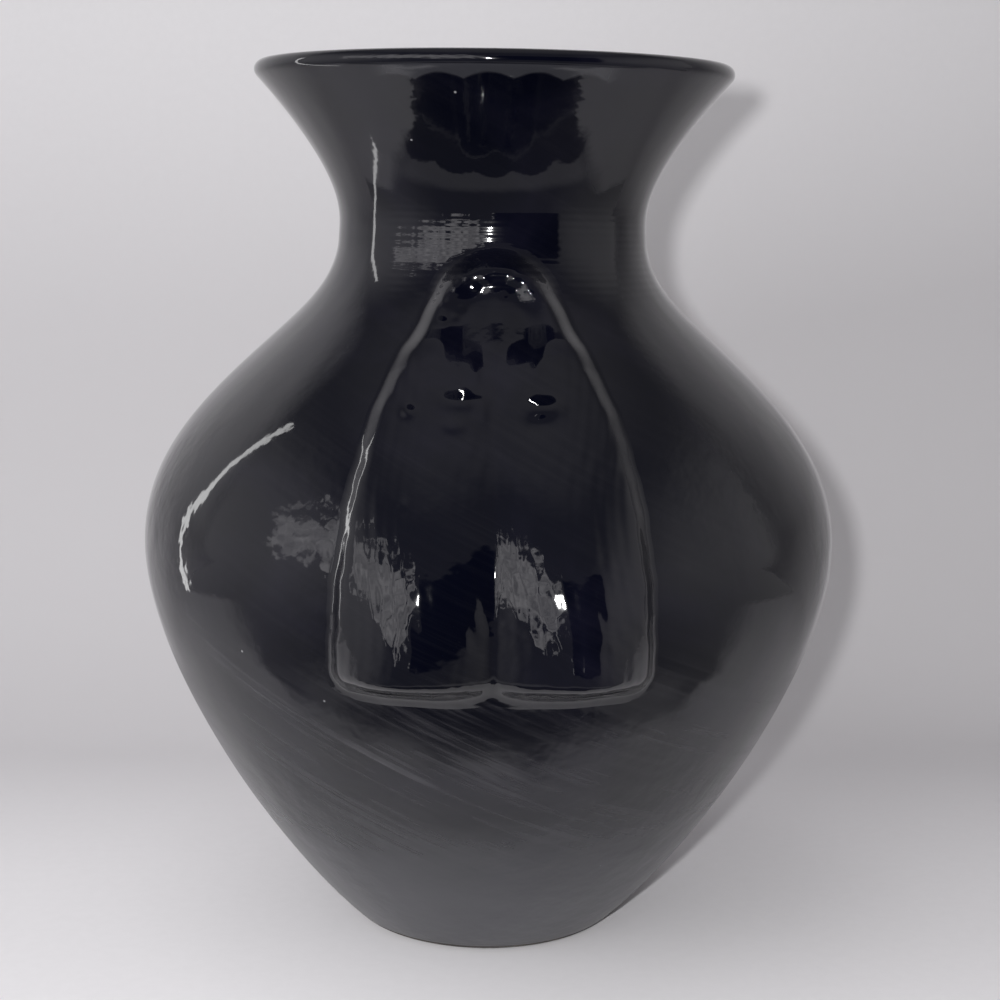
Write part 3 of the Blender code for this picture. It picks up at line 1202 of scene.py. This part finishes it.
@dataclass
class Relief:
    """The raised relief on the front, laid on the wall and closed behind."""

    form: ReliefForm
    waver: Waver
    margin: float = 0.0042
    bed: float = 0.0015
    sink: float = 0.00016
    spacing: float = 0.00052

    def build(self) -> bmesh.types.BMesh:
        """Lay a fine grid over the wall, raise it, and close it behind.

        Returns:
            The closed mesh.
        """
        profile, form = self.form.profile, self.form
        low = profile.length_at(form.foot) - self.margin
        high = profile.length_at(form.apex) + self.margin
        wide = form.half_width + self.margin
        columns, rows = round(2 * wide / self.spacing), round((high - low) / self.spacing)
        mesh = bmesh.new()
        bmesh.ops.create_grid(mesh, x_segments=columns, y_segments=rows, size=0.5)
        front = bmesh.ops.extrude_face_region(mesh, geom=mesh.faces[:], use_keep_orig=True)["geom"]
        mesh.verts.index_update()
        raised = np.zeros(len(mesh.verts), bool)
        raised[[item.index for item in front if isinstance(item, bmesh.types.BMVert)]] = True
        x, y, _ = read_places(mesh).T
        across = 2.0 * x * wide
        height = profile.height_at(low + (y + 0.5) * (high - low))
        radius = profile.radius_at(height)
        turn = across / radius
        level, up = profile.normal_at(height)
        wave = self.waver.at(turn, height)
        rise = np.full(len(across), -self.bed)
        rise[raised] = np.maximum(form.rise(across[raised], height[raised]) - self.sink, -self.sink)
        reach = radius + level * wave + rise
        write_places(mesh, reach * np.sin(turn), -reach * np.cos(turn), height + up * wave)
        face_outwards(mesh)
        return mesh

    def dress(self, glaze: bpy.types.Material) -> bpy.types.Object:
        """Make the piece and let it stand for the relief of the part.

        Args:
            glaze: its material.

        Returns:
            The piece.
        """
        piece = make_object("raised_relief", self.build(), glaze)
        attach(piece, ROOT)
        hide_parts("relief_lobe_left", "relief_lobe_right", "relief_hood")
        return piece


class LampKind(Enum):
    """The lamps of the studio."""

    WINDOW = "window_light"
    STRIP = "strip_light"
    CEILING = "ceiling_light"
    GLINT = "glint_light"
    CATCH = "catch_light"


@dataclass(frozen=True)
class Lamp:
    """A flat area lamp aimed at a point on the pot's axis."""

    kind: LampKind
    place: Triple
    aim: float
    width: float
    height: float
    radiance: float

    def build(self) -> bpy.types.Object:
        """Place the lamp, unseen by the camera itself.

        Returns:
            The lamp object.
        """
        lamp = bpy.data.lights.new(self.kind.value, "AREA")
        lamp.shape = "RECTANGLE"
        lamp.size, lamp.size_y = self.width, self.height
        lamp.energy = self.radiance * math.pi * self.width * self.height
        item = show(self.kind.value, lamp)
        item.location = self.place
        away = item.location - Vector((0.0, 0.0, self.aim))
        item.rotation_euler = away.to_track_quat("Z", "Y").to_euler()
        item.visible_camera = False
        item.visible_glossy = self.kind in (LampKind.STRIP, LampKind.GLINT)
        item.visible_diffuse = self.kind is not LampKind.GLINT
        return item


def bearing(angle: float, rise: float, distance: float, aim: float) -> Triple:
    """Place at a bearing from the axis: 0 degrees is in front and right of it is positive."""
    level = distance * math.cos(math.radians(rise))
    return (level * math.sin(math.radians(angle)), -level * math.cos(math.radians(angle)),
            aim + distance * math.sin(math.radians(rise)))


@dataclass(frozen=True)
class PalePaper(Finish):
    """Pale matt paper with painted shade on the lower backdrop and towards its right, clear from behind and
    fading out at its far edges.

    Other rays than the camera's see the table end in front of the pot, at a scalloped edge.
    """

    name: str = "pale_paper"
    light: Triple = (0.80, 0.785, 0.805)
    shaded: Triple = (0.60, 0.585, 0.602)
    grain: Grain = Grain(260.0, 3.0, 0.6)
    grain_levels: Levels = (0.3, 0.7)
    grain_dark: float = 0.985
    roughness: float = 0.9
    painted_shade_back: Levels = (0.0, 0.22)
    painted_shade_top: Levels = (0.32, 0.09)
    painted_shade_right: Levels = (-0.05, 0.30)
    painted_shade_right_back: Levels = (0.06, 0.22)
    painted_shade_right_share: float = 0.35
    table_front: Levels = (-0.46, -0.36)
    table_side: Levels = (0.46, 0.40)
    wall_front: Levels = (0.12, 0.14)
    far_side: Levels = (0.9, 1.9)
    far_top: Levels = (0.5, 1.0)
    edge: float = -0.118
    bay: float = 0.046
    bay_side: Levels = (0.05, 0.19)
    scallop: float = 0.055
    scallop_depth: float = 0.009
    scallop_side: Levels = (0.26, 0.16)
    scallop_shift: float = 0.005
    crisp: float = 0.002
    soft: float = 0.045
    soft_side: Levels = (0.14, 0.32)

    def shader(self, sheet: NodeSheet) -> bpy.types.Node:
        """Build the paper's nodes.

        Args:
            sheet: the node sheet of the material.

        Returns:
            The mix of paper and clear.
        """
        place = sheet.place()
        x, y, z = sheet.parts(place)
        aside = abs(x)
        dark = tuple(self.grain_dark * part for part in self.light)
        colour = sheet.blend(sheet.noise(place, self.grain).step(*self.grain_levels), dark, self.light)
        # Painted shade: the lower backdrop, and more of it at the right, is darkened towards the shaded
        # colour as if less lit.
        painted_shade = (y.step(*self.painted_shade_back) * z.step(*self.painted_shade_top)
                + x.step(*self.painted_shade_right) * y.step(*self.painted_shade_right_back) * self.painted_shade_right_share)
        colour = sheet.blend(painted_shade.clamp(), colour, self.shaded)
        paper = sheet.node("ShaderNodeBsdfPrincipled", None,
                           {"Base Color": colour, "Roughness": self.roughness})
        clear = sheet.node("ShaderNodeBsdfTransparent")
        seen = sheet.value("ShaderNodeLightPath", "Is Camera Ray")
        softness = aside.step(*self.soft_side) * self.soft + self.crisp
        table = aside.step(*self.table_side) * (self.behind_edge(aside, x, y) / softness).step(-1.0, 1.0)
        near = table + seen * (1.0 - table) * y.step(*self.table_front)
        shown = near + y.step(*self.wall_front) * (1.0 - near)
        shown = shown * (1.0 - aside.step(*self.far_side)) * (1.0 - z.step(*self.far_top))
        shown = shown * (1.0 - sheet.value("ShaderNodeNewGeometry", "Backfacing"))
        return sheet.node("ShaderNodeMixShader", None,
                          {0: shown, 1: clear.outputs[0], 2: paper.outputs[0]})

    def behind_edge(self, aside: Value, x: Value, y: Value) -> Value:
        """How far a place lies behind the table's front edge, which bows towards the pot.

        Args:
            aside: its distance from the middle.
            x: its place across.
            y: its place from front to back.

        Returns:
            The distance, which is negative in front of the edge.
        """
        scallops = abs((x * (math.pi / self.scallop)).maths("COSINE"))
        scallops = scallops * aside.step(*self.scallop_side) * self.scallop_depth
        return y - (aside.step(*self.bay_side) * self.bay + self.edge) + scallops - self.scallop_shift


@dataclass(frozen=True)
class GlazeWindow:
    """A ragged, mottled window at the front left, as it shows in the glaze, in degrees."""

    ragged: Grain = Grain(7.0, 3.0, 0.6)
    torn: Grain = Grain(11.0, 3.0, 0.6)
    mottled: Grain = Grain(16.0)
    side_tear: float = 60.0
    top_tear: float = 50.0
    left: Levels = (-77.0, -73.0)
    right: Levels = (-7.0, -10.0)
    top: Levels = (31.0, 28.0)
    sill: float = 8.0
    sill_drop: float = 16.0
    sill_side: Levels = (-80.0, -10.0)
    sill_edge: Levels = (0.0, 2.0)
    bright: float = 1.35
    mottling: float = 2.8
    dim_side: Levels = (-85.0, -35.0)
    dimmest: float = 0.55

    def brightness(self, sheet: NodeSheet, way: bpy.types.NodeSocket, turn: Value, rise: Value) -> Value:
        """Brightness of the window.

        Args:
            sheet: the world's node sheet.
            way: the direction looked in.
            turn: its bearing in degrees, 0 in front and right of it positive.
            rise: its height over the horizon in degrees.

        Returns:
            The brightness in that direction.
        """
        ragged, torn, mottled = (sheet.noise(way, grain) - 0.5
                                 for grain in (self.ragged, self.torn, self.mottled))
        turn, rise = turn + ragged * self.side_tear, rise + torn * self.top_tear
        sill = self.sill - turn.step(*self.sill_side) * self.sill_drop
        inside = (turn.step(*self.left) * turn.step(*self.right)
                  * (rise - sill).step(*self.sill_edge) * rise.step(*self.top))
        fading = turn.step(*self.dim_side) * (1.0 - self.dimmest) + self.dimmest
        return inside * (self.bright + mottled * self.mottling) * fading


@dataclass(frozen=True)
class Room:
    """Dim room, brighter at both sides and overhead, with a dark opening at the front right."""

    tint: Triple = (1.0, 0.975, 1.0)
    seen_level: float = 0.60
    dim: float = 0.13
    overhead: float = 0.15
    overhead_levels: Levels = (0.75, 1.0)
    sides: float = 0.42
    sides_lean: float = 0.06
    sides_levels: Levels = (0.55, 0.97)
    sides_rise: Levels = (-30.0, 8.0)
    sides_least: float = 0.4
    ahead_levels: Levels = (0.02, 0.22)
    scallop: float = 36.0
    scallop_depth: float = 3.5
    floor_edge: Levels = (-53.0, -54.0)
    floor_drop: float = 0.06
    band: float = 0.24
    band_top: Levels = (-36.0, -44.0)
    opening_left: Levels = (-2.0, 1.0)
    opening_right: Levels = (51.0, 48.0)
    opening_foot: Levels = (-18.0, -15.0)
    opening_top: Levels = (27.0, 24.0)
    opening_dark: float = 0.95
    window: GlazeWindow = GlazeWindow()

    def build(self) -> None:
        """Make the room the scene's world."""
        world = bpy.data.worlds.new("studio")
        world.use_nodes = True
        bpy.context.scene.world = world
        sheet = NodeSheet(world.node_tree)
        way = sheet.node("ShaderNodeTexCoord").outputs["Generated"]
        x, y, z = sheet.parts(way)
        turn = x.maths("ARCTAN2", -y) * math.degrees(1.0)
        rise = z.maths("ARCSINE") * math.degrees(1.0)
        room = self.walls(x, y, z, turn, rise)
        glossy = sheet.value("ShaderNodeLightPath", "Is Glossy Ray")
        room = room + glossy * self.window.brightness(sheet, way, turn, rise)
        seen = sheet.value("ShaderNodeLightPath", "Is Camera Ray")
        level = room + seen * (self.seen_level - room)
        colour = sheet.node("ShaderNodeVectorMath", {"operation": "SCALE"},
                            {0: self.tint, "Scale": level})
        background = sheet.node("ShaderNodeBackground", None,
                                {"Color": colour.outputs[0], "Strength": 1.0})
        sheet.node("ShaderNodeOutputWorld", None, {"Surface": background.outputs[0]})

    def walls(self, x: Value, y: Value, z: Value, turn: Value, rise: Value) -> Value:
        """Brightness of the room without its window.

        Args:
            x: the direction's part to the right.
            y: its part to the back.
            z: its part upwards.
            turn: its bearing in degrees.
            rise: its height over the horizon in degrees.

        Returns:
            The brightness in that direction.
        """
        sides = abs(x).step(*self.sides_levels) * (self.sides - x * self.sides_lean)
        sides = sides * (rise.step(*self.sides_rise) * (1.0 - self.sides_least) + self.sides_least)
        ahead = (-y).step(*self.ahead_levels)
        edge = rise - abs((turn * (math.pi / self.scallop)).maths("COSINE")) * self.scallop_depth
        low = edge.step(*self.floor_edge) * ahead
        band = edge.step(*self.floor_edge[::-1]) * rise.step(*self.band_top) * ahead
        room = (self.dim + z.step(*self.overhead_levels) * self.overhead + sides * (1.0 - low)
                - low * self.floor_drop + band * self.band)
        opening = (turn.step(*self.opening_left) * turn.step(*self.opening_right)
                   * rise.step(*self.opening_foot) * rise.step(*self.opening_top))
        return room * (1.0 - opening * self.opening_dark)


@dataclass(frozen=True)
class PhotoCamera:
    """The camera at the photograph's place, with its turn, pitch and roll in degrees."""

    place: Triple = (-0.00756, -0.53495, 0.2162)
    turn: float = 1.15
    pitch: float = 9.73
    roll: float = 0.79
    focal_share: float = 1.835
    sensor: float = 36.0
    clip: Pair = (0.01, 50.0)

    def build(self) -> bpy.types.Object:
        """Place the camera and make it the scene's.

        Returns:
            The camera object.
        """
        data = bpy.data.cameras.new("camera")
        data.sensor_width = self.sensor
        data.lens = self.sensor * self.focal_share
        data.clip_start, data.clip_end = self.clip
        turn, pitch, roll = (math.radians(angle) for angle in (self.turn, self.pitch, self.roll))
        level = math.cos(pitch)
        ahead = Vector((level * math.sin(turn), level * math.cos(turn), -math.sin(pitch)))
        right = ahead.cross(Vector((0.0, 0.0, 1.0))).normalized()
        up = right.cross(ahead)
        side = right * math.cos(roll) + up * math.sin(roll)
        top = up * math.cos(roll) - right * math.sin(roll)
        item = show("camera", data)
        axes = Matrix((side, top, -ahead)).transposed()
        item.matrix_world = Matrix.Translation(self.place) @ axes.to_4x4()
        bpy.context.scene.camera = item
        return item


@dataclass(frozen=True)
class CatchLight:
    """A small lamp just up and left of the camera, for the spots of light on the crowns."""

    beside_camera: Triple = (-0.022, 0.004, 0.018)
    radius: float = 0.0085
    power: float = 9.0

    def build(self, camera_place: Triple) -> bpy.types.Object:
        """Place the lamp.

        Args:
            camera_place: where the camera stands.

        Returns:
            The lamp object.
        """
        light = bpy.data.lights.new(LampKind.CATCH.value, "POINT")
        light.shadow_soft_size = self.radius
        light.energy = self.power
        item = show(LampKind.CATCH.value, light)
        item.location = Vector(camera_place) + Vector(self.beside_camera)
        return item


@dataclass
class Studio:
    """Pale table and coved backdrop, plain surroundings, lamps and the photograph's camera."""

    front: float = -0.66
    back: float = 0.30
    cove: float = 0.16
    cove_steps: int = 24
    top: float = 1.6
    width: float = 4.0
    paper: Finish = PalePaper()
    room: Room = Room()
    lamps: Sequence[Lamp] = (
        Lamp(LampKind.WINDOW, bearing(-41.0, 18.0, 1.3, 0.13), 0.13, 1.75, 1.10, 1.45),
        Lamp(LampKind.STRIP, (-0.197, -0.002, 0.190), 0.190, 0.0075, 0.24, 4.0),
        Lamp(LampKind.CEILING, (-0.45, -0.35, 1.5), 0.05, 1.2, 1.2, 1.0),
        Lamp(LampKind.GLINT, (-0.0295, -0.531, 0.2342), 0.16, 0.017, 0.032, 70.0),
    )
    catch_light: CatchLight = CatchLight()
    camera: PhotoCamera = PhotoCamera()

    def build(self) -> None:
        """Set up everything round the vase."""
        self.table()
        self.room.build()
        for lamp in self.lamps:
            lamp.build()
        self.catch_light.build(self.camera.place)
        self.camera.build()
        bpy.context.scene.view_settings.view_transform = "Standard"

    def table(self) -> bpy.types.Object:
        """A pale sheet that lies on the table and curves up behind the vase.

        Returns:
            The staged object.
        """
        bend = arc((self.back - self.cove, self.cove), self.cove, -math.pi / 2, 0.0, self.cove_steps)
        line = [(self.front, 0.0), *map(tuple, bend), (self.back, self.top)]
        mesh = bmesh.new()
        verts = [mesh.verts.new((-self.width / 2, y, z)) for y, z in line]
        edges = [mesh.edges.new(pair) for pair in zip(verts, verts[1:])]
        swept = bmesh.ops.extrude_edge_only(mesh, edges=edges)["geom"]
        bmesh.ops.translate(mesh, vec=(self.width, 0.0, 0.0),
                            verts=[item for item in swept if isinstance(item, bmesh.types.BMVert)])
        bmesh.ops.recalc_face_normals(mesh, faces=mesh.faces[:])
        mesh.normal_update()
        if sum(face.normal.z for face in mesh.faces) < 0.0:
            bmesh.ops.reverse_faces(mesh, faces=mesh.faces[:])
        piece = make_object("table_and_backdrop", mesh, self.paper.make())
        return piece


def main() -> None:
    """Build the studio and the vase."""
    logging.basicConfig(level=logging.INFO, format="%(name)s: %(message)s")
    profile, waver = PotProfile(), Waver()
    Studio().build()
    glaze = BlackGlaze().make()
    pieces = [Vessel(profile, waver).dress(glaze), Foot(profile).dress(BareClay().make()),
              Relief(ReliefForm(profile), waver).dress(glaze)]
    for piece in pieces:
        count = sum(len(face.vertices) - 2 for face in piece.data.polygons)
        LOG.info("%s: %d triangles", piece.name, count)
    bpy.context.view_layer.update()


if __name__ == "__main__":
    main()
